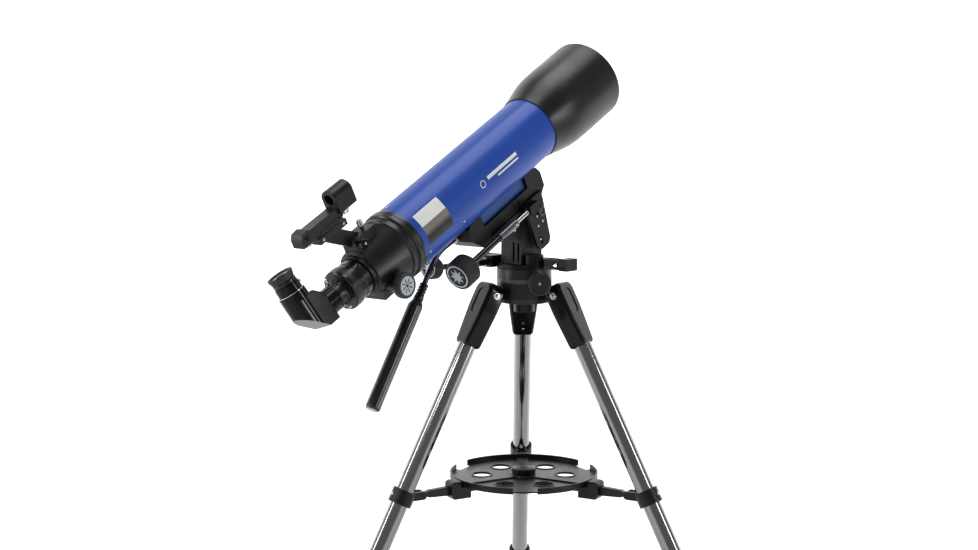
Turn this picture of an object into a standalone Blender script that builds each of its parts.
"""A refractor telescope on an altitude-azimuth mount and tripod, as separate parts.

Metres, +Z up.  The tripod stands on Z = 0 and the box's base centre is the origin.
"""
import math

import bmesh
import bpy
from mathutils import Euler, Matrix, Vector

GAP = 0.0003  # between touching pieces

# Tripod
HUB_TOP = 0.7505
HUB_BOTTOM = 0.692
HUB_RADIUS = 0.0465
LEG_LEAN = math.radians(26.9)
LEG_PIVOT_RADIUS = 0.069
LEG_PIVOT_HEIGHT = 0.708
LEG_TUBE_RADIUS = 0.0152
LEG_TUBE_TOP = 0.0425
LEG_TUBE_END = 0.640
LEG_ANGLES = [math.radians(angle) for angle in (90, 210, 330)]
LOWER_LEG_RADIUS = 0.0130
LOWER_LEG_TOP = 0.200
LOCK_COLLAR_TOP = 0.6125
SPREADER_HEIGHT = 0.3815
ARM_INNER = 0.038
ARM_OUTER = 0.200
TRAY_FLOOR = 0.3875
TRAY_RADIUS = 0.127
TRAY_RIM = 0.011
TRAY_BOLT_BORE = 0.0062
TRAY_HOLE_SPREAD = math.radians(33)
LOCK_KNOB_PLACE = (0.024, 0, 0.7315)
LOCK_KNOB_DISTANCE = 0.6340

# Mount
HEADING = math.radians(50.1)
ALTITUDE = math.radians(27.5)
PIVOT_HEIGHT = 0.848
COLUMN_HALF_WIDTH = 0.0215
YOKE_DISC = 0.008
SPINDLE_BORE = 0.0123
SHAFT_RADIUS = 0.0040
PIVOT_BOLT = 0.0060
AZIMUTH_ROD_PLACE = (0, 0.0450, 0.0105)
ALTITUDE_ROD_PLACE = (0, -0.0410, 0.0205)

# Telescope, measured forward of the altitude pivot and above it
TUBE_AXIS = 0.116
TUBE_RADIUS = 0.055
TUBE_WALL = 0.0015
CRADLE_FLOOR = 0.0475
CRADLE_REAR = -0.1315
CRADLE_FRONT = -0.0065
CLAMP_PLACE = (-0.0700, 0, 0.0330)
HANDLE_RADIUS = 0.0045
HANDLE_HEIGHT = 0.0505
HANDLE_BEND = -0.2250
HANDLE_DROP = math.radians(29)
HANDLE_REACH = 0.0820
HANDLE_LENGTH = 0.1900
TUBE_REAR = -0.293
TUBE_FRONT = 0.084
SHIELD_REAR = 0.0715
SHIELD_FRONT = 0.2520
PINION_X = -0.3602
PINION_Z = -0.0307
PINION_RADIUS = 0.0058
DRAWTUBE_RADIUS = 0.0220
DIAGONAL_X = -0.5066
DIAGONAL_ROLL = math.radians(18)
BARREL_RADIUS = 0.0158
LIGHT_PATH = 0.0138
LIGHT_UP = 0.0132
FINDER_HEIGHT = 0.0985

FINE = 32
MEDIUM = 20
SMALL = 12


def clear_scene():
    for old in list(bpy.data.objects):
        bpy.data.objects.remove(old, do_unlink=True)


def new_collection(name):
    group = bpy.data.collections.new(name)
    bpy.context.scene.collection.children.link(group)
    return group


def new_material(name, color, roughness, metallic=0.0):
    material = bpy.data.materials.new(name)
    material.use_nodes = True
    shader = material.node_tree.nodes["Principled BSDF"]
    shader.inputs["Base Color"].default_value = (*color, 1.0)
    shader.inputs["Roughness"].default_value = roughness
    shader.inputs["Metallic"].default_value = metallic
    return material


clear_scene()
PARTS = new_collection("refractor_telescope")
CUTTERS = new_collection("cutters")

BLACK_PLASTIC = new_material("black_plastic", (0.022, 0.023, 0.026), 0.42)
BLACK_METAL = new_material("black_metal", (0.016, 0.017, 0.019), 0.33, 0.4)
BLACK_RUBBER = new_material("black_rubber", (0.02, 0.02, 0.02), 0.8)
BLUE_PAINT = new_material("blue_paint", (0.02, 0.09, 0.42), 0.25)
STEEL = new_material("stainless_steel", (0.56, 0.55, 0.53), 0.24, 1.0)
CHROME = new_material("chrome", (0.8, 0.8, 0.8), 0.1, 1.0)
GLASS = new_material("glass", (0.8, 0.86, 0.84), 0.03)


# Frames: empties that carry the parts

def frame(name, parent, location, rotation=(0, 0, 0)):
    empty = bpy.data.objects.new(name, None)
    empty.empty_display_size = 0.03
    PARTS.objects.link(empty)
    empty.parent = parent
    empty.location = location
    empty.rotation_euler = rotation
    return empty


# Shapes

def link_mesh(name, mesh):
    part = bpy.data.objects.new(name, mesh)
    PARTS.objects.link(part)
    return part


def smooth(mesh):
    mesh.shade_smooth()
    mesh.set_sharp_from_angle(angle=math.radians(32))


def evaluated(source):
    """A mesh of the object with its modifiers, and the object removed."""
    bpy.context.view_layer.update()
    graph = bpy.context.evaluated_depsgraph_get()
    mesh = bpy.data.meshes.new_from_object(source.evaluated_get(graph))
    bpy.data.objects.remove(source, do_unlink=True)
    shape = bmesh.new()
    shape.from_mesh(mesh)
    bmesh.ops.remove_doubles(shape, verts=shape.verts, dist=0.000005)
    shape.to_mesh(mesh)
    shape.free()
    smooth(mesh)
    return mesh


def turned(name, profile, segments=MEDIUM):
    """A solid of revolution about Z.

    The profile of (radius, height) points runs down the outer side, top to bottom.
    One that starts off the axis returns up the bore and is closed.
    """
    outline = bmesh.new()
    points = [outline.verts.new((radius, 0, height)) for radius, height in profile]
    for start, end in zip(points, points[1:]):
        outline.edges.new((start, end))
    if profile[0][0] > 0:
        outline.edges.new((points[-1], points[0]))
    mesh = bpy.data.meshes.new(name)
    outline.to_mesh(mesh)
    outline.free()
    source = link_mesh("profile", mesh)
    screw = source.modifiers.new("turn", "SCREW")
    screw.steps = segments
    screw.render_steps = segments
    screw.use_merge_vertices = True
    screw.merge_threshold = 0.00001
    return link_mesh(name, evaluated(source))


def rod(name, radius, bottom, top, segments=MEDIUM, bevel=0.0):
    """A solid cylinder about Z, with its rims chamfered by the bevel."""
    return turned(name, [
        (0, top), (radius - bevel, top), (radius, top - bevel),
        (radius, bottom + bevel), (radius - bevel, bottom), (0, bottom),
    ] if bevel else [(0, top), (radius, top), (radius, bottom), (0, bottom)], segments)


def pipe(name, outer, inner, bottom, top, segments=MEDIUM):
    return turned(name, [(outer, top), (outer, bottom), (inner, bottom), (inner, top)], segments)


def round_edges(part, width, segments=2):
    bevel = part.modifiers.new("round", "BEVEL")
    bevel.width = width
    bevel.segments = segments
    bevel.limit_method = "ANGLE"
    bevel.angle_limit = math.radians(40)


def block(name, low, high, bevel=0.0, segments=2):
    """A box between two corners, with rounded edges."""
    low, high = Vector(low), Vector(high)
    shape = bmesh.new()
    bmesh.ops.create_cube(shape, size=1.0)
    bmesh.ops.scale(shape, vec=high - low, verts=shape.verts)
    bmesh.ops.translate(shape, vec=(low + high) / 2, verts=shape.verts)
    mesh = bpy.data.meshes.new(name)
    shape.to_mesh(mesh)
    shape.free()
    part = link_mesh(name, mesh)
    if bevel:
        round_edges(part, bevel, segments)
    return part


def plate(name, points, low, high, bevel=0.0):
    """An XZ outline, listed clockwise or not, as thick as low to high along Y."""
    curve = bpy.data.curves.new(name, "CURVE")
    curve.dimensions = "2D"
    curve.fill_mode = "BOTH"
    curve.extrude = (high - low) / 2
    spline = curve.splines.new("POLY")
    spline.points.add(len(points) - 1)
    for point, (x, z) in zip(spline.points, points):
        point.co = (x, z, 0, 1)
    spline.use_cyclic_u = True
    source = bpy.data.objects.new("outline", curve)
    PARTS.objects.link(source)
    mesh = evaluated(source)
    for vertex in mesh.vertices:
        x, z, y = vertex.co
        vertex.co = (x, (low + high) / 2 - y, z)
    part = link_mesh(name, mesh)
    if bevel:
        round_edges(part, bevel)
    return part


def arc(centre, radius, start, end, steps=8):
    """Points on an arc, from one angle in degrees to another."""
    angles = [math.radians(start + (end - start) * step / steps) for step in range(steps + 1)]
    return [(centre[0] + radius * math.cos(a), centre[1] + radius * math.sin(a)) for a in angles]


def wire(name, points, radius):
    """A round rod along a smooth path through the points."""
    curve = bpy.data.curves.new(name, "CURVE")
    curve.dimensions = "3D"
    curve.bevel_depth = radius
    curve.bevel_resolution = 4
    curve.use_fill_caps = True
    curve.resolution_u = 5
    spline = curve.splines.new("BEZIER")
    spline.bezier_points.add(len(points) - 1)
    for knot, point in zip(spline.bezier_points, points):
        knot.co = point
        knot.handle_left_type = "AUTO"
        knot.handle_right_type = "AUTO"
    source = bpy.data.objects.new("path", curve)
    PARTS.objects.link(source)
    return link_mesh(name, evaluated(source))


TURNS = {
    "X": (0, math.pi / 2, 0),
    "-X": (0, -math.pi / 2, 0),
    "Y": (-math.pi / 2, 0, 0),
    "-Y": (math.pi / 2, 0, 0),
}


def moved(part, location=(0, 0, 0), rotation=(0, 0, 0)):
    """Moves and turns a shape within its own frame."""
    part.data.transform(Matrix.LocRotScale(Vector(location), Euler(rotation), None))
    return part


def pointing(part, axis):
    """Turns a shape made about Z so that it lies along another axis."""
    return moved(part, rotation=TURNS[axis])


def combine(part, operation, others):
    """Booleans the others, which lie in the part's own frame, into the part."""
    for other in others:
        PARTS.objects.unlink(other)
        CUTTERS.objects.link(other)
        other.hide_render = True
        other.display_type = "WIRE"
        other.parent = part
        boolean = part.modifiers.new(operation.lower(), "BOOLEAN")
        boolean.operation = operation
        boolean.object = other
    return part


def join(part, *others):
    return combine(part, "UNION", others)


def cut(part, *others):
    return combine(part, "DIFFERENCE", others)


def mount(part, parent, material, location=(0, 0, 0), rotation=(0, 0, 0)):
    """Puts a finished part in its frame, with its material."""
    part.parent = parent
    part.location = location
    part.rotation_euler = rotation
    part.data.materials.clear()
    part.data.materials.append(material)
    return part


# Tripod hub

def tripod_hub(tripod):
    hub = turned("tripod_hub", [
        (HUB_RADIUS, HUB_TOP), (HUB_RADIUS, HUB_BOTTOM + 0.008), (HUB_RADIUS - 0.003, HUB_BOTTOM),
        (0.0175, HUB_BOTTOM), (0.0175, HUB_BOTTOM - 0.017), (SPINDLE_BORE, HUB_BOTTOM - 0.017),
        (SPINDLE_BORE, HUB_TOP),
    ], FINE)
    for angle in LEG_ANGLES:
        outline = [(-0.034, -0.0125), *arc((0, 0), 0.0125, -90, 90), (-0.034, 0.0125)]
        lug = moved(plate("hub_lug", outline, -0.011, 0.011), (LEG_PIVOT_RADIUS, 0, LEG_PIVOT_HEIGHT))
        join(hub, moved(lug, rotation=(0, 0, angle)))
    neck = pointing(rod("lock_neck", 0.0095, 0.0300, 0.0640, SMALL), "-Y")
    join(hub, moved(neck, LOCK_KNOB_PLACE))
    bore = pointing(rod("lock_bore", 0.0043, 0.0440, 0.0700, SMALL), "-Y")
    cut(hub, moved(bore, LOCK_KNOB_PLACE))
    mount(hub, tripod, BLACK_PLASTIC)


def azimuth_lock_knob(tripod):
    knob = turned("azimuth_lock_knob", [
        (0, 0.0820), (0.0170, 0.0820), (0.0195, 0.0800), (0.0195, 0.0665), (0.0180, 0.0650),
        (0.0040, 0.0650), (0.0040, 0.0460), (0, 0.0460),
    ])
    mount(knob, tripod, BLACK_PLASTIC, LOCK_KNOB_PLACE, TURNS["-Y"])


# Legs: a leg's frame is on its fold axis, with -Z down the leg and +X outward

def leg_head(name, leg):
    sides = [(-0.0178, -0.094), (0.0178, -0.094), (0.0255, -0.034), (0.0255, 0.0120),
             (0.0200, 0.0180), (-0.0200, 0.0180), (-0.0255, 0.0120), (-0.0255, -0.034)]
    head = plate(name, sides, -0.0165, 0.0165, bevel=0.003)
    moved(head, rotation=(0, 0, math.pi / 2))
    slot = block("fork_slot", (-0.03, -0.0115, -0.0145), (0.0132, 0.0115, 0.0146))
    mouth = block("fork_mouth", (-0.03, -0.0117, -0.0120), (0.0020, 0.0117, 0.03))
    bore = rod("tube_bore", LEG_TUBE_RADIUS + GAP, -0.100, -LEG_TUBE_TOP + GAP)
    oval = [*arc((0, -0.0025), 0.0090, 0, 180), *arc((0, -0.0290), 0.0090, 180, 360)]
    recess = moved(plate("outer_recess", oval, -0.0300, -0.0150), rotation=(0, 0, math.pi / 2))
    cut(head, slot, mouth, bore, recess)
    mount(head, leg, BLACK_PLASTIC)


def leg_tube(name, leg):
    tube = pipe(name, LEG_TUBE_RADIUS, LEG_TUBE_RADIUS - 0.001, -LEG_TUBE_END, -LEG_TUBE_TOP)
    mount(tube, leg, STEEL)


def spreader_collar(name, leg):
    """A ring on the leg, with a level fork that reaches in for the spreader arm."""
    distance = (LEG_PIVOT_HEIGHT - SPREADER_HEIGHT) / math.cos(LEG_LEAN)
    hinge = ARM_OUTER - LEG_PIVOT_RADIUS - distance * math.sin(LEG_LEAN)
    ring = pipe(name, 0.0200, LEG_TUBE_RADIUS - 0.001, -0.0125, 0.0125)
    for near, far in ((0.0056, 0.0100), (-0.0100, -0.0056)):
        cheek = block("cheek", (hinge - 0.007, near, -0.0060), (-0.0165, far, 0.0060))
        join(ring, moved(cheek, rotation=(0, LEG_LEAN, 0)))
    cut(ring, rod("leg_bore", LEG_TUBE_RADIUS + GAP, -0.03, 0.03))
    mount(ring, leg, BLACK_PLASTIC, (0, 0, -distance))


def lock_collar(name, leg):
    collar = turned(name, [
        (0.0185, -LOCK_COLLAR_TOP), (0.0205, -LOCK_COLLAR_TOP - 0.003),
        (0.0205, -0.6530), (0.0180, -0.6560), (LOWER_LEG_RADIUS + GAP, -0.6560),
        (LOWER_LEG_RADIUS + GAP, -LEG_TUBE_END - GAP), (LEG_TUBE_RADIUS + GAP, -LEG_TUBE_END - GAP),
        (LEG_TUBE_RADIUS + GAP, -LOCK_COLLAR_TOP),
    ])
    boss = pointing(rod("boss", 0.0075, 0.0175, 0.0260, SMALL), "X")
    hole = pointing(rod("screw_hole", 0.0033, 0.0180, 0.0300, SMALL), "X")
    join(collar, moved(boss, (0, 0, -LOCK_KNOB_DISTANCE)))
    cut(collar, moved(hole, (0, 0, -LOCK_KNOB_DISTANCE)))
    mount(collar, leg, BLACK_PLASTIC)


def lock_knob(name, leg):
    knob = turned(name, [
        (0, 0.0420), (0.0095, 0.0420), (0.0115, 0.0400), (0.0115, 0.0300), (0.0060, 0.0265),
        (0.0030, 0.0265), (0.0030, 0.0190), (0, 0.0190),
    ], SMALL)
    mount(knob, leg, BLACK_PLASTIC, (0, 0, -LOCK_KNOB_DISTANCE), TURNS["X"])


def lower_leg(name, leg):
    tube = pipe(name, LOWER_LEG_RADIUS, LOWER_LEG_RADIUS - 0.001, -0.776, -LOWER_LEG_TOP)
    mount(tube, leg, STEEL)


def foot(name, leg):
    """A rubber shoe on the lower leg, cut level where it meets the ground."""
    shoe = turned(name, [(0, -0.742), (0.0155, -0.742), (0.0175, -0.746), (0.0175, -0.790),
                         (0.0150, -0.806), (0, -0.812)])
    socket = rod("socket", LOWER_LEG_RADIUS + GAP, -0.7765, -0.70)
    floor = block("floor", (-0.08, -0.08, -0.05), (0.08, 0.08, 0))
    moved(floor, rotation=(0, LEG_LEAN, 0))
    moved(floor, (0, 0, -LEG_PIVOT_HEIGHT / math.cos(LEG_LEAN)))
    cut(shoe, socket, floor)
    mount(shoe, leg, BLACK_RUBBER)


# Spreader and tray

def hinge_fork():
    """Two cheeks and a pin that hold an arm, on the +X side."""
    left = block("cheek", (0.0240, 0.0056, -0.0055), (ARM_INNER + 0.0055, 0.0100, 0.0055))
    right = block("cheek", (0.0240, -0.0100, -0.0055), (ARM_INNER + 0.0055, -0.0056, 0.0055))
    pin = pointing(rod("pin", 0.0018, -0.0090, 0.0090, 12), "Y")
    return left, right, moved(pin, (ARM_INNER, 0, 0))


def spreader_hub(tripod):
    hub = turned("spreader_hub", [
        (0.0280, 0.0057), (0.0280, -0.0155), (0.0240, -0.0185), (TRAY_BOLT_BORE, -0.0185),
        (TRAY_BOLT_BORE, 0.0057)])
    for angle in LEG_ANGLES:
        for piece in hinge_fork():
            join(hub, moved(piece, rotation=(0, 0, angle)))
    mount(hub, tripod, BLACK_PLASTIC, (0, 0, SPREADER_HEIGHT))


def spreader_arm(name, arm):
    """An arm that lies outward along X from its hinge, with a rest for the tray's rim."""
    length = ARM_OUTER - ARM_INNER
    outline = [*arc((0, 0), 0.0048, 90, 270), *arc((length, 0), 0.0042, -90, 90)]
    bar = plate(name, outline, -0.0050, 0.0050)
    rest = TRAY_RADIUS + 0.0015 - ARM_INNER
    step = TRAY_FLOOR - SPREADER_HEIGHT - 0.0010
    block_outline = [(rest - 0.018, -0.0140), (rest + 0.014, -0.0140), (rest + 0.019, -0.0080),
                     (rest + 0.019, 0.0130), (rest + 0.014, 0.0160), (rest, 0.0160), (rest, step),
                     (rest - 0.018, step)]
    join(bar, plate("tray_rest", block_outline, -0.0120, 0.0120))
    strut_outline = [(rest + 0.010, -0.0080), (length - 0.014, -0.0060), (length - 0.008, -0.0035),
                     (length - 0.008, 0.0035), (length - 0.014, 0.0060), (rest + 0.010, 0.0080)]
    join(bar, plate("strut", strut_outline, -0.0047, 0.0047))
    join(bar, block("rib", (0.0160, -0.0075, -0.0046), (rest - 0.010, 0.0075, 0.0046)))
    cut(bar, pointing(rod("pin_hole", 0.0021, -0.0200, 0.0200, 12), "Y"))
    mount(bar, arm, BLACK_PLASTIC)


def accessory_tray(tripod):
    """A round rimmed tray with eyepiece holes, finger notches and a ribbed floor."""
    floor, rim = TRAY_FLOOR, TRAY_FLOOR + TRAY_RIM
    tray = turned("accessory_tray", [
        (TRAY_RADIUS, rim), (TRAY_RADIUS, floor + 0.001), (TRAY_RADIUS - 0.001, floor),
        (TRAY_BOLT_BORE, floor), (TRAY_BOLT_BORE, floor + 0.0060), (0.0225, floor + 0.0060),
        (0.0245, floor + 0.0025), (TRAY_RADIUS - 0.0025, floor + 0.0025), (TRAY_RADIUS - 0.0025, rim),
    ], FINE)
    for angle in LEG_ANGLES:
        rib = block("rib", (0.0200, -0.0100, floor + 0.0010),
                    (TRAY_RADIUS - 0.0015, 0.0100, floor + 0.0050))
        join(tray, moved(rib, rotation=(0, 0, angle)))
        for offset in (TRAY_HOLE_SPREAD, -TRAY_HOLE_SPREAD):
            hole = moved(rod("eyepiece_hole", 0.0160, floor - 0.01, floor + 0.01), (0.072, 0, 0))
            cut(tray, moved(hole, rotation=(0, 0, angle + offset)))
        notch = block("finger_notch", (TRAY_RADIUS - 0.012, -0.0200, floor - 0.01),
                      (TRAY_RADIUS + 0.010, 0.0200, rim + 0.01))
        cut(tray, moved(notch, rotation=(0, 0, angle + math.radians(60))))
    mount(tray, tripod, BLACK_PLASTIC)


def tray_knob(tripod):
    knob = turned("tray_knob", [
        (0, 0.0185), (0.0140, 0.0185), (0.0205, 0.0165), (0.0205, 0.0068), (0.0190, 0.0063),
        (0.0058, 0.0063), (0.0058, -0.0160), (0, -0.0160),
    ])
    mount(knob, tripod, BLACK_PLASTIC, (0, 0, TRAY_FLOOR))


# Azimuth: +X is the way the telescope points and Z = 0 is the top of the hub

def yoke(azimuth):
    """The turntable, the column that carries the altitude pivot, and the slow-motion arms."""
    pivot = PIVOT_HEIGHT - HUB_TOP
    disc = turned("yoke", [
        (0, YOKE_DISC), (HUB_RADIUS - 0.001, YOKE_DISC), (HUB_RADIUS, YOKE_DISC - 0.001),
        (HUB_RADIUS, GAP), (SPINDLE_BORE - GAP, GAP), (SPINDLE_BORE - GAP, -0.070), (0, -0.070),
    ], FINE)
    outline = [(-0.0355, 0.0040), (0.0200, 0.0040), (0.0200, pivot - 0.048),
               *arc((0, pivot), 0.0155, 0, 180), (-0.0355, pivot - 0.048)]
    column = plate("column", outline, -COLUMN_HALF_WIDTH, COLUMN_HALF_WIDTH)
    arms = block("crossbar", (-0.0110, -0.1010, 0.0015), (0.0110, 0.0945, 0.0185))
    end_block = block("end_block", (-0.0140, -0.1015, 0.0005), (0.0140, -0.0840, 0.0205))
    worm_lug = block("worm_lug", (-0.0460, 0.0340, 0.0012), (-0.0090, 0.0560, 0.0210))
    boss = moved(rod("boss", 0.0172, 0.0050, 0.0245, MEDIUM, 0.001), (-0.012, -0.029, 0))
    join(disc, column, arms, end_block, worm_lug, boss)
    for offset in (-0.0060, -0.0160):
        cut(disc, block("groove", (-0.0450, offset - 0.0025, 0.0120), (-0.0330, offset + 0.0025, 0.045)))
    bolt = pointing(rod("pivot_hole", PIVOT_BOLT + GAP, -0.03, 0.03), "Y")
    shaft = pointing(rod("shaft_hole", SHAFT_RADIUS + GAP, -0.0600, -0.0150, SMALL), "X")
    cut(disc, moved(bolt, (0, 0, pivot)), moved(shaft, AZIMUTH_ROD_PLACE))
    mount(disc, azimuth, BLACK_METAL)


def azimuth_rod(azimuth):
    shaft = turned("azimuth_rod", [
        (0, -0.0160), (SHAFT_RADIUS, -0.0160), (SHAFT_RADIUS, -0.0500), (0.0075, -0.0505),
        (0.0075, -0.0720), (0.0050, -0.0725), (0.0050, -0.1680), (SHAFT_RADIUS, -0.1685),
        (SHAFT_RADIUS, -0.1850), (0, -0.1850),
    ], SMALL)
    mount(shaft, azimuth, BLACK_METAL, AZIMUTH_ROD_PLACE, TURNS["X"])


def slow_motion_knob(name, parent, radius, front, rear, place):
    """A knob on the rear end of a slow-motion rod, with a blind hole for the rod."""
    hole = SHAFT_RADIUS + GAP
    knob = turned(name, [
        (0, front - 0.0170), (hole, front - 0.0170), (hole, front), (radius * 0.6, front),
        (radius, front - 0.0060), (radius, rear + 0.0020), (radius - 0.0020, rear), (0, rear),
    ])
    mount(knob, parent, BLACK_RUBBER, place, TURNS["X"])


# Altitude: +X is forward along the telescope and the origin is the pivot

def altitude_cradle(altitude):
    """The long cradle under the tube, with a lug for the pivot and a socket for the handle."""
    outline = [(-0.168, 0.0400), (-0.148, 0.0185), (0.020, 0.0185), (0.035, 0.0300),
               (0.035, 0.0550), (0.027, 0.0680), (CRADLE_FRONT, 0.0680), (CRADLE_FRONT, CRADLE_FLOOR),
               (CRADLE_REAR, CRADLE_FLOOR), (CRADLE_REAR, 0.0680), (-0.168, 0.0680)]
    cradle = plate("altitude_cradle", outline, -0.0290, 0.0290)
    lug = plate("pivot_lug", [(0.0160, 0.0240), *arc((0, 0), 0.0160, 0, -180), (-0.0160, 0.0240)],
                0.0235, 0.0290)
    join(cradle, lug)
    saddle = pointing(rod("tube_clearance", TUBE_RADIUS + 0.0007, -0.25, 0.10, FINE), "X")
    bolt = pointing(rod("pivot_hole", PIVOT_BOLT + GAP, -0.05, 0.05), "Y")
    clamp = pointing(rod("clamp_hole", 0.0043, 0.0150, 0.0400, SMALL), "Y")
    socket = pointing(rod("handle_socket", HANDLE_RADIUS + GAP, -0.1900, -0.1480, SMALL), "X")
    cut(cradle, moved(saddle, (0, 0, TUBE_AXIS)), bolt, moved(clamp, CLAMP_PLACE),
        moved(socket, (0, 0, HANDLE_HEIGHT)))
    mount(cradle, altitude, BLACK_METAL)


def side_plate(altitude):
    """The plate on the cradle's right side, with the worm housing of the slow motion."""
    outline = [(-0.0300, 0.0300), (-0.0330, -0.0460), *arc((-0.0190, -0.0470), 0.0145, 180, 270),
               *arc((-0.0080, -0.0480), 0.0135, -90, 0), (0.0160, 0.0120), (0.0180, 0.0300)]
    side = plate("side_plate", outline, -0.0338, -0.0293)
    housing = block("worm_housing", (-0.0360, -0.0480, 0.0122), (-0.0125, -0.0320, 0.0284), 0.0015)
    join(side, housing)
    bolt = pointing(rod("pivot_hole", PIVOT_BOLT + GAP, -0.05, -0.01), "Y")
    shaft = pointing(rod("shaft_hole", SHAFT_RADIUS + GAP, -0.0500, -0.0180, SMALL), "X")
    slot = plate("slot", [*arc((-0.0195, -0.0420), 0.0030, 0, 180, 4),
                          *arc((-0.0195, -0.0500), 0.0030, 180, 360, 4)], -0.05, -0.01)
    cut(side, bolt, moved(shaft, ALTITUDE_ROD_PLACE), slot)
    mount(side, altitude, BLACK_METAL)


def altitude_pivot(azimuth):
    """The bolt through the column, with a head outside each lug."""
    bolt = turned("altitude_pivot", [
        (0, 0.0345), (0.0080, 0.0345), (0.0095, 0.0330), (0.0095, 0.0293), (PIVOT_BOLT, 0.0293),
        (PIVOT_BOLT, -0.0341), (0.0095, -0.0341), (0.0095, -0.0375), (0.0080, -0.0390), (0, -0.0390)])
    mount(bolt, azimuth, CHROME, (0, 0, PIVOT_HEIGHT - HUB_TOP), TURNS["Y"])


def altitude_rod(altitude):
    shaft = turned("altitude_rod", [
        (0, -0.0200), (SHAFT_RADIUS, -0.0200), (SHAFT_RADIUS, -0.0730), (0.0075, -0.0735),
        (0.0075, -0.1205), (0.0055, -0.1210), (0.0055, -0.2010), (SHAFT_RADIUS, -0.2015),
        (SHAFT_RADIUS, -0.2180), (0, -0.2180),
    ], SMALL)
    mount(shaft, altitude, STEEL, ALTITUDE_ROD_PLACE, TURNS["X"])


def saddle_clamp_knob(altitude):
    knob = turned("saddle_clamp_knob", [
        (0, 0.0500), (0.0110, 0.0500), (0.0130, 0.0480), (0.0130, 0.0360), (0.0070, 0.0310),
        (0.0040, 0.0310), (0.0040, 0.0160), (0, 0.0160),
    ])
    mount(knob, altitude, BLACK_PLASTIC, CLAMP_PLACE, TURNS["Y"])


def handle_rod(altitude):
    """The bent rod of the pan handle, from its socket in the cradle."""
    start, end = Vector((-0.1520, 0, HANDLE_HEIGHT)), handle_point(0.024)
    bend = Vector((HANDLE_BEND, 0, HANDLE_HEIGHT))
    points = [start, start.lerp(bend, 0.45), start.lerp(bend, 0.88),
              handle_point(-0.0680), handle_point(-0.0150), end]
    handle = wire("handle_rod", points, HANDLE_RADIUS)
    mount(handle, altitude, BLACK_METAL)


def handle_point(distance):
    """A point along the handle's straight grip, measured from the grip's top end."""
    x = HANDLE_BEND - (HANDLE_REACH + distance) * math.cos(HANDLE_DROP)
    z = HANDLE_HEIGHT - (HANDLE_REACH + distance) * math.sin(HANDLE_DROP)
    return Vector((x, 0, z))


def handle_grip(altitude):
    hole = HANDLE_RADIUS + GAP
    grip = turned("handle_grip", [
        (0, -0.0250), (hole, -0.0250), (hole, 0), (0.0085, 0), (0.0120, -0.0080),
        (0.0120, -HANDLE_LENGTH + 0.0030), (0.0100, -HANDLE_LENGTH), (0, -HANDLE_LENGTH)])
    turn = math.pi / 2 - HANDLE_DROP
    mount(grip, altitude, BLACK_METAL, handle_point(0), (0, turn, 0))


# Telescope: the optical frame's +Z is forward along the tube

def tube_foot(altitude):
    block_shape = block("tube_foot", (CRADLE_REAR + 0.001, -0.0235, CRADLE_FLOOR + GAP),
                        (CRADLE_FRONT - 0.001, 0.0235, 0.0720))
    tube = pointing(rod("tube_seat", TUBE_RADIUS + GAP, -0.25, 0.10, FINE), "X")
    cut(block_shape, moved(tube, (0, 0, TUBE_AXIS)))
    mount(block_shape, altitude, BLUE_PAINT)


def main_tube(optical):
    tube = pipe("main_tube", TUBE_RADIUS, TUBE_RADIUS - TUBE_WALL, TUBE_REAR, TUBE_FRONT, FINE)
    mount(tube, optical, BLUE_PAINT)


def dew_shield(optical):
    shield = turned("dew_shield", [
        (0.0700, SHIELD_FRONT), (0.0715, SHIELD_FRONT - 0.0015), (0.0715, 0.2330), (0.0705, 0.1500),
        (0.0690, 0.1300), (0.0655, 0.1120), (0.0600, 0.0880), (0.0565, SHIELD_REAR),
        (TUBE_RADIUS + GAP, SHIELD_REAR), (TUBE_RADIUS + GAP, 0.0755), (0.0568, 0.0790),
        (0.0606, 0.0960), (0.0630, 0.1120), (0.0660, 0.1300), (0.0675, 0.1500), (0.0688, SHIELD_FRONT),
    ], FINE)
    mount(shield, optical, BLACK_PLASTIC)


def objective_cell(optical):
    """The ring on the front of the tube that holds the two lenses."""
    cell = turned("objective_cell", [
        (0.0560, 0.1110), (0.0600, 0.1060), (0.0600, 0.0980), (0.0562, 0.0800), (0.0554, 0.0800),
        (0.0554, 0.0845), (0.0500, 0.0845), (0.0500, 0.0880), (0.0518, 0.0880), (0.0518, 0.1060),
        (0.0500, 0.1060), (0.0500, 0.1110),
    ], FINE)
    mount(cell, optical, BLACK_METAL)


def lens_face(radius, edge, sag, count=4):
    """Points from the axis to the rim of a shallow spherical face."""
    steps = [step / count for step in range(count + 1)]
    return [(radius * step, edge + sag * (1 - step * step)) for step in steps]


def lenses(optical):
    """The doublet: a biconvex front lens and a rear lens that its back fits into."""
    crown = lens_face(0.0515, 0.1010, 0.0040) + lens_face(0.0515, 0.0985, -0.0035)[::-1]
    flint = lens_face(0.0515, 0.0980, -0.0035) + lens_face(0.0515, 0.0885, 0)[::-1]
    mount(turned("crown_lens", crown, FINE), optical, GLASS)
    mount(turned("flint_lens", flint, FINE), optical, GLASS)


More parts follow.
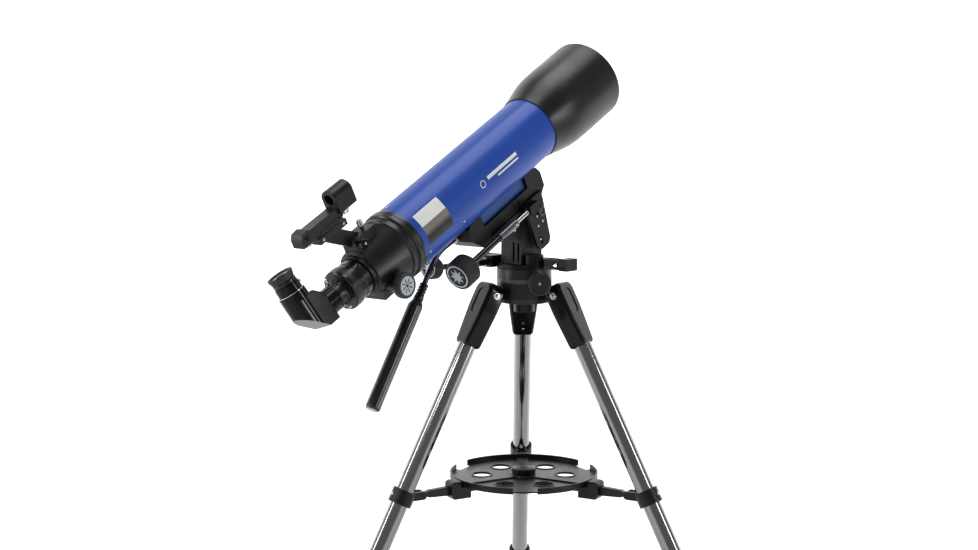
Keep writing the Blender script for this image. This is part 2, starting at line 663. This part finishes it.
def focuser_body(optical):
    """The rear casting: tube ring, cone, drawtube bearing and pinion housing."""
    body = turned("focuser_body", [
        (TUBE_RADIUS - TUBE_WALL - GAP, -0.2830), (TUBE_RADIUS - TUBE_WALL - GAP, TUBE_REAR - GAP),
        (0.0572, TUBE_REAR - GAP), (0.0572, -0.3075), (0.0535, -0.3090), (0.0535, -0.3160),
        (0.0545, -0.3170), (0.0545, -0.3200), (0.0515, -0.3215), (0.0385, -0.3850),
        (0.0345, -0.3855), (0.0345, -0.3915), (0.0215, -0.3915), (0.0215, -0.3640),
        (0.0360, -0.3600), (0.0480, -0.3200), (0.0500, -0.3160), (0.0500, -0.2830),
    ], FINE)
    # In this frame -X is up and Y is left.
    bearing = pointing(rod("pinion_bearing", 0.0115, -0.0455, 0.0455, MEDIUM), "Y")
    sump = block("pinion_sump", (0.0250, -0.0220, PINION_X - 0.0150), (0.0510, 0.0220, PINION_X + 0.0150))
    join(body, moved(bearing, (-PINION_Z, 0, PINION_X)), sump)
    hollow = turned("focuser_hollow", [
        (0, -0.2700), (0.0495, -0.2700), (0.0495, -0.3165), (0.0355, -0.3600),
        (DRAWTUBE_RADIUS + GAP, -0.3640), (DRAWTUBE_RADIUS + GAP, -0.4000), (0, -0.4000)])
    channel = block("rack_channel", (0.0100, -0.0046, -0.4000), (0.0272, 0.0046, -0.3300))
    chamber = pointing(rod("pinion_chamber", 0.0066, -0.0072, 0.0072), "Y")
    shaft = pointing(rod("shaft_hole", 0.0036, -0.0600, 0.0600, SMALL), "Y")
    cut(body, hollow, channel, moved(chamber, (-PINION_Z, 0, PINION_X)),
        moved(shaft, (-PINION_Z, 0, PINION_X)))
    mount(body, optical, BLACK_PLASTIC)


def drawtube(optical):
    """The sliding tube with its rack below and the eyepiece holder behind."""
    tube = turned("drawtube", [
        (DRAWTUBE_RADIUS, -0.3000), (DRAWTUBE_RADIUS, -0.3922), (0.0312, -0.3922), (0.0312, -0.4135),
        (0.0330, -0.4150), (0.0330, -0.4310), (0.0305, -0.4330), (0.0205, -0.4330),
        (0.0205, -0.4515), (BARREL_RADIUS + GAP, -0.4515), (BARREL_RADIUS + GAP, -0.4200),
        (DRAWTUBE_RADIUS - 0.0025, -0.4160), (DRAWTUBE_RADIUS - 0.0025, -0.3000),
    ], FINE)
    rack_top = -PINION_Z - PINION_RADIUS - GAP
    rack = block("rack", (DRAWTUBE_RADIUS - 0.0015, -0.0040, -0.3870), (rack_top, 0.0040, -0.3020))
    join(tube, rack)
    mount(tube, optical, BLACK_METAL)


def pinion_shaft(optical):
    """The cross shaft with the pinion in its middle."""
    shaft = turned("pinion_shaft", [
        (0, 0.0580), (0.0033, 0.0580), (0.0033, 0.0060), (PINION_RADIUS, 0.0060),
        (PINION_RADIUS, -0.0060), (0.0033, -0.0060), (0.0033, -0.0580), (0, -0.0580),
    ], SMALL)
    mount(shaft, optical, STEEL, (-PINION_Z, 0, PINION_X), TURNS["Y"])


def focus_knob(name, optical, side):
    """A knob with a blind hole for the shaft, on the left (1) or the right (-1)."""
    knob = turned(name, [
        (0, 0.0585), (0.0036, 0.0585), (0.0036, 0.0465), (0.0130, 0.0465), (0.0185, 0.0500),
        (0.0200, 0.0520), (0.0200, 0.0605), (0.0180, 0.0630), (0, 0.0630),
    ][::-1])
    mount(knob, optical, BLACK_RUBBER, (-PINION_Z, 0, PINION_X), TURNS["Y" if side > 0 else "-Y"])


# Star diagonal: X is forward along the tube and Z points up the eyepiece

def diagonal_body(diagonal):
    outline = [(-0.0100, 0.0350), (-0.0100, -0.0240), (0.0350, -0.0240), (0.0350, 0.0200),
               (0.0200, 0.0350)]
    body = plate("diagonal_body", outline, -0.0213, 0.0213)
    sleeve = rod("eyepiece_sleeve", 0.0218, -0.0230, 0.0480, FINE)
    slope = block("mirror_slope", (-0.0600, -0.0400, -0.0600), (0.0600, 0.0400, -0.0071))
    moved(slope, rotation=(0, math.radians(45), 0))
    collar = pointing(rod("front_collar", 0.0205, 0.0300, 0.0545, FINE), "X")
    barrel = pointing(rod("barrel", BARREL_RADIUS, 0.0500, 0.0795, MEDIUM), "X")
    holder = turned("eyepiece_holder", [
        (0, 0.0615), (0.0185, 0.0615), (0.0195, 0.0605), (0.0195, 0.0320), (0, 0.0320)], MEDIUM)
    join(body, sleeve, collar, barrel, holder)
    light_in = pointing(rod("light_in", LIGHT_PATH, -0.0005, 0.0900), "X")
    light_up = turned("light_up", [
        (0, 0.0800), (BARREL_RADIUS + GAP, 0.0800), (BARREL_RADIUS + GAP, 0.0380),
        (LIGHT_UP, 0.0370), (LIGHT_UP, 0.0005), (0, 0.0005)])
    moved(light_up, rotation=(0, 0, math.radians(5)))
    pocket = block("mirror_pocket", (-0.0175, -0.0138, -0.0043), (0.0175, 0.0138, 0.0040))
    moved(pocket, rotation=(0, math.radians(45), 0))
    cut(body, slope, light_up, pocket, light_in)
    mount(body, diagonal, BLACK_PLASTIC)


def diagonal_mirror(diagonal):
    mirror = block("diagonal_mirror", (-0.0170, -0.0133, -0.0038), (0.0170, 0.0133, -0.0008))
    moved(mirror, rotation=(0, math.radians(45), 0))
    mount(mirror, diagonal, CHROME)


def eyepiece(diagonal):
    body = turned("eyepiece", [
        (0.0080, 0.0755), (0.0130, 0.0765), (0.0150, 0.0755), (0.0150, 0.0680), (0.0180, 0.0680),
        (0.0185, 0.0670), (0.0185, 0.0630), (0.0175, 0.0619), (BARREL_RADIUS, 0.0619),
        (BARREL_RADIUS, 0.0400), (0.0140, 0.0400), (0.0140, 0.0600), (0.0110, 0.0660),
        (0.0080, 0.0740),
    ], MEDIUM)
    mount(body, diagonal, BLACK_METAL)


def eyecup(diagonal):
    cup = turned("eyecup", [
        (0.0195, 0.0790), (0.0208, 0.0780), (0.0185, 0.0690), (0.0180, 0.0684), (0.0153, 0.0684),
        (0.0153, 0.0730), (0.0172, 0.0740), (0.0190, 0.0785),
    ], MEDIUM)
    mount(cup, diagonal, BLACK_RUBBER)


# Finder: in the altitude frame, with heights above the tube's axis

def finder_bracket(altitude):
    """The shoe on the focuser, the sloping arm and the rail under the finder."""
    rail_top = FINDER_HEIGHT - 0.0020
    rail = block("finder_bracket", (-0.4410, -0.0095, rail_top - 0.0100), (-0.3790, 0.0095, rail_top))
    arm = plate("arm", [(-0.4330, rail_top - 0.0080), (-0.3820, 0.0460), (-0.3420, 0.0460),
                        (-0.3420, 0.0590), (-0.3600, 0.0590), (-0.3960, rail_top - 0.0080)],
                -0.0045, 0.0045)
    shoe = block("shoe", (-0.3850, -0.0145, 0.0340), (-0.3360, 0.0145, 0.0600))
    join(rail, arm, shoe)
    cone = turned("focuser_clearance", [
        (0, -0.2900), (0.0576, -0.2900), (0.0576, -0.3080), (0.0550, -0.3090), (0.0550, -0.3205),
        (0.0519, -0.3215), (0.0389, -0.3850), (0.0360, -0.4000), (0, -0.4000)], FINE)
    screw = moved(rod("screw_hole", 0.0033, 0.0500, 0.0700, SMALL), (-0.3500, 0, 0))
    cut(rail, pointing(cone, "X"), screw)
    mount(rail, altitude, BLACK_PLASTIC, (0, 0, TUBE_AXIS))


def bracket_screw(altitude):
    screw = turned("bracket_screw", [
        (0, 0.0760), (0.0042, 0.0760), (0.0050, 0.0750), (0.0050, 0.0650), (0.0036, 0.0640),
        (0.0036, 0.0603), (0.0030, 0.0603), (0.0030, 0.0515), (0, 0.0515),
    ], SMALL)
    mount(screw, altitude, CHROME, (-0.3500, 0, TUBE_AXIS))


def finder_body(finder):
    """The sight: rear block, bar and the hollow front hood, from the finder's hinge."""
    bar = block("finder_body", (-0.0600, -0.0100, 0.0035), (0.0180, 0.0100, 0.0205))
    foot_shape = block("clamp_foot", (-0.0350, -0.0110, 0.0010), (0.0150, 0.0110, 0.0060))
    rear = block("rear_block", (-0.0740, -0.0115, 0.0020), (-0.0540, 0.0115, 0.0240))
    hood = block("hood", (0.0110, -0.0150, 0.0100), (0.0500, 0.0150, 0.0480), 0.0060)
    join(bar, foot_shape, rear, hood)
    opening = block("hood_opening", (0.0140, -0.0120, 0.0215), (0.0700, 0.0120, 0.0440))
    window_slot = block("window_slot", (0.0400, -0.0130, 0.0202), (0.0425, 0.0130, 0.0455))
    sight_hole = pointing(rod("sight_hole", 0.0085, -0.01, 0.03, MEDIUM), "X")
    screw = moved(rod("screw_hole", 0.0023, -0.01, 0.0190, SMALL), (0.0330, 0, 0))
    cut(bar, opening, window_slot, moved(sight_hole, (0, 0, 0.0335)), screw)
    mount(bar, finder, BLACK_PLASTIC)


def finder_window(finder):
    window = block("finder_window", (0.0403, -0.0127, 0.0205), (0.0422, 0.0127, 0.0452))
    mount(window, finder, GLASS)


def finder_adjust_knob(finder):
    knob = turned("finder_adjust_knob", [
        (0, 0.0180), (0.0020, 0.0180), (0.0020, 0.0096), (0.0060, 0.0096), (0.0065, 0.0086),
        (0.0065, 0.0006), (0.0055, -0.0004), (0, -0.0004),
    ], SMALL)
    mount(knob, finder, CHROME, (0.0330, 0, 0))


# Assembly

def build_leg(number, angle, tripod):
    location = (LEG_PIVOT_RADIUS * math.cos(angle), LEG_PIVOT_RADIUS * math.sin(angle),
                LEG_PIVOT_HEIGHT)
    leg = frame(f"leg_{number}_axis", tripod, location, (0, -LEG_LEAN, angle))
    for build in (leg_head, leg_tube, spreader_collar, lock_collar, lock_knob, lower_leg, foot):
        build(f"{build.__name__}_{number}", leg)
    hinge = (ARM_INNER * math.cos(angle), ARM_INNER * math.sin(angle), SPREADER_HEIGHT)
    arm = frame(f"arm_{number}_axis", tripod, hinge, (0, 0, angle))
    spreader_arm(f"spreader_arm_{number}", arm)


def build_tripod(telescope):
    tripod = frame("tripod", telescope, (0, 0, 0))
    tripod_hub(tripod)
    azimuth_lock_knob(tripod)
    for number, angle in enumerate(LEG_ANGLES, 1):
        build_leg(number, angle, tripod)
    spreader_hub(tripod)
    accessory_tray(tripod)
    tray_knob(tripod)


def build_mount(telescope):
    """The azimuth and altitude stages; returns the altitude frame."""
    azimuth = frame("azimuth_axis", telescope, (0, 0, HUB_TOP), (0, 0, HEADING))
    yoke(azimuth)
    azimuth_rod(azimuth)
    slow_motion_knob("azimuth_knob", azimuth, 0.0180, -0.1690, -0.1930, AZIMUTH_ROD_PLACE)
    altitude_pivot(azimuth)
    altitude = frame("altitude_axis", azimuth, (0, 0, PIVOT_HEIGHT - HUB_TOP), (0, -ALTITUDE, 0))
    altitude_cradle(altitude)
    side_plate(altitude)
    altitude_rod(altitude)
    slow_motion_knob("altitude_knob", altitude, 0.0250, -0.2020, -0.2380, ALTITUDE_ROD_PLACE)
    saddle_clamp_knob(altitude)
    handle_rod(altitude)
    handle_grip(altitude)
    return altitude


def build_optics(altitude):
    optical = frame("optical_axis", altitude, (0, 0, TUBE_AXIS), (0, math.pi / 2, 0))
    tube_foot(altitude)
    for build in (main_tube, dew_shield, objective_cell, lenses, focuser_body, drawtube,
                  pinion_shaft):
        build(optical)
    focus_knob("focus_knob_right", optical, -1)
    focus_knob("focus_knob_left", optical, 1)
    diagonal = frame("diagonal_axis", altitude, (DIAGONAL_X, 0, TUBE_AXIS), (-DIAGONAL_ROLL, 0, 0))
    for build in (diagonal_body, diagonal_mirror, eyepiece, eyecup):
        build(diagonal)
    finder_bracket(altitude)
    bracket_screw(altitude)
    finder = frame("finder_axis", altitude, (-0.4000, 0, TUBE_AXIS + FINDER_HEIGHT))
    for build in (finder_body, finder_window, finder_adjust_knob):
        build(finder)


def centre_on_base(telescope):
    """Shifts the whole telescope so that the middle of its box's base is the origin."""
    bpy.context.view_layer.update()
    graph = bpy.context.evaluated_depsgraph_get()
    corners = []
    for part in PARTS.objects:
        if part.type == "MESH":
            whole = part.evaluated_get(graph)
            corners += [part.matrix_world @ vertex.co for vertex in whole.data.vertices]
    for axis in (0, 1):
        values = [corner[axis] for corner in corners]
        telescope.location[axis] = -(min(values) + max(values)) / 2


def main():
    telescope = frame("telescope", None, (0, 0, 0))
    build_tripod(telescope)
    build_optics(build_mount(telescope))
    centre_on_base(telescope)


main()
